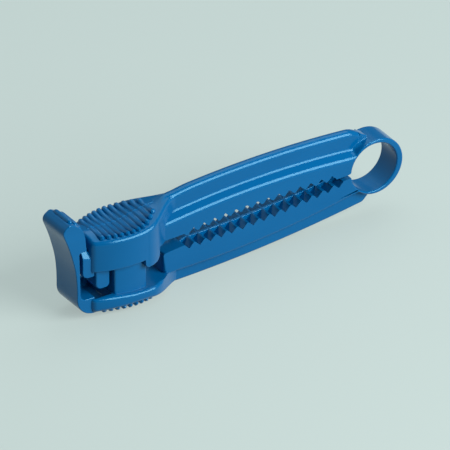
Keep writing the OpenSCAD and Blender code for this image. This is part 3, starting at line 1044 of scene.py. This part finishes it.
# %% Blue plastic
plastic = bpy.data.materials.new("blue_plastic")
plastic.use_nodes = True
tree = plastic.node_tree
moulded = put(tree, "ShaderNodeGroup", {
    "Colour": (0.0, 0.104, 0.29, 1), "Deep colour": (0.0, 0.093, 0.265, 1)}, node_tree=MOULDED)
relief = put(tree, "ShaderNodeBump", {
    "Strength": 0.35, "Distance": 0.02 * MM, "Height": moulded.outputs["Relief"]})
feed(tree, tree.nodes["Principled BSDF"], {
    "IOR": 1.49, "Specular IOR Level": 0.5, "Specular Tint": (0.32, 0.8, 1.0, 1),
    "Base Color": moulded.outputs["Colour"], "Roughness": moulded.outputs["Roughness"],
    "Normal": relief.outputs["Normal"]})
for obj in SKINS:
    obj.data.materials.clear()
    obj.data.materials.append(plastic)
print("the plastic has", len(tree.nodes), "nodes")

# %% [markdown]
# The clamp is small and seen from well away, where near and far ends look the same size.
# A camera with parallel rays shows it so, and its scale is the width of what it sees.

# %% Camera
AIM = Vector((-50.93, 0.185, -5.07)) * MM
AZ, EL = math.radians(-34), math.radians(32.3)  # round the clamp, and up from the ground
DIST, FIELD = 1.2, 0.13554  # how far away it stands, and the width that it sees, in metres
back = Vector((math.sin(AZ) * math.cos(EL), -math.cos(AZ) * math.cos(EL), math.sin(EL)))
cam = bpy.data.cameras.new("camera")
cam.type = "ORTHO"
cam.ortho_scale = FIELD
camera = bpy.data.objects.new("camera", cam)
bpy.context.scene.collection.objects.link(camera)
camera.location = AIM + back * DIST
camera.rotation_mode = "QUATERNION"
camera.rotation_quaternion = (-back).to_track_quat("-Z", "Y")
bpy.context.scene.camera = camera
print("camera at", [round(v, 3) for v in camera.location], "looks at", [round(v, 4) for v in AIM])

# %% [markdown]
# The clamp lies on a plain pale surface. Part of the surface's brightness is a glow that
# only the camera and reflections see, so the ground stays pale, the shadow stays soft,
# and no extra light reaches the plastic.

# %% Floor
FLOOR_Z = cad_box[0].z - 0.0002
FLOOR_HALF = 3
mesh = bpy.data.meshes.new("floor")
corners = [(FLOOR_HALF * x, FLOOR_HALF * y, FLOOR_Z) for x, y in ((-1, -1), (1, -1), (1, 1), (-1, 1))]
mesh.from_pydata(corners, [], [(0, 1, 2, 3)])
floor = bpy.data.objects.new("floor", mesh)
bpy.context.scene.collection.objects.link(floor)
pale = bpy.data.materials.new("pale_floor")
pale.use_nodes = True
tree = pale.node_tree
rays = put(tree, "ShaderNodeLightPath").outputs
seen = calc(tree, "ADD", rays["Is Camera Ray"], rays["Is Glossy Ray"])
seen = calc(tree, "ADD", seen, rays["Is Transmission Ray"])
feed(tree, tree.nodes["Principled BSDF"], {
    "Base Color": (0.215, 0.25, 0.239, 1), "Roughness": 1.0, "Specular IOR Level": 0.0,
    "Emission Color": (0.605, 0.71, 0.68, 1), "Emission Strength": calc(tree, "MULTIPLY", seen, 0.57)})
mesh.materials.append(pale)
print("floor at", round(FLOOR_Z * 1000, 2), "mm")

# %% [markdown]
# Shiny plastic shows its lights as reflections, so each light is a soft box whose place
# decides which faces mirror it. The key stands low at the front and lights the rounded
# edges, the overhead one lifts the upper faces, and the wide, weak fill is for the back.
# The power grows with the area, so that a box of any size looks equally bright.

# %% Lights


def softbox(name, direction, tall, distance, width, height, radiance):
    """An area light seen from the clamp in this direction, with its height along tall."""
    light = bpy.data.lights.new(name, "AREA")
    light.shape, light.size, light.size_y = "RECTANGLE", width, height
    light.energy = radiance * math.pi * width * height
    obj = bpy.data.objects.new(name, light)
    bpy.context.scene.collection.objects.link(obj)
    back_z = Vector(direction).normalized()
    side = Vector(tall).cross(back_z).normalized()
    up = back_z.cross(side)
    turn = Matrix((side, up, back_z)).transposed()
    obj.matrix_world = Matrix.Translation(AIM + back_z * distance) @ turn.to_4x4()
    print(name, "power", round(light.energy, 2), "level", round(light.energy / (math.pi * distance) ** 2, 2))


softbox("key", (0.36, -0.72, 0.46), (0, 0.6, 0.8), 0.9, 0.72, 0.60, 9.2)
softbox("overhead", (0.35, 0.35, 0.87), (0, 1, 0), 1.2, 1.0, 1.0, 1.3)
softbox("fill", (-0.5, 0.8, 0.35), (0, 0, 1), 1.4, 2.0, 2.0, 0.45)
world = bpy.data.worlds.new("studio")
bpy.context.scene.world = world
world.use_nodes = True
feed(world.node_tree, world.node_tree.nodes["Background"], {"Color": (0.5, 0.87, 1.0, 1), "Strength": 0.24})
bpy.context.scene.view_settings.view_transform = "Standard"

# %% [markdown]
# At the end the view layer is brought up to date.

# %% Finish
bpy.context.view_layer.update()
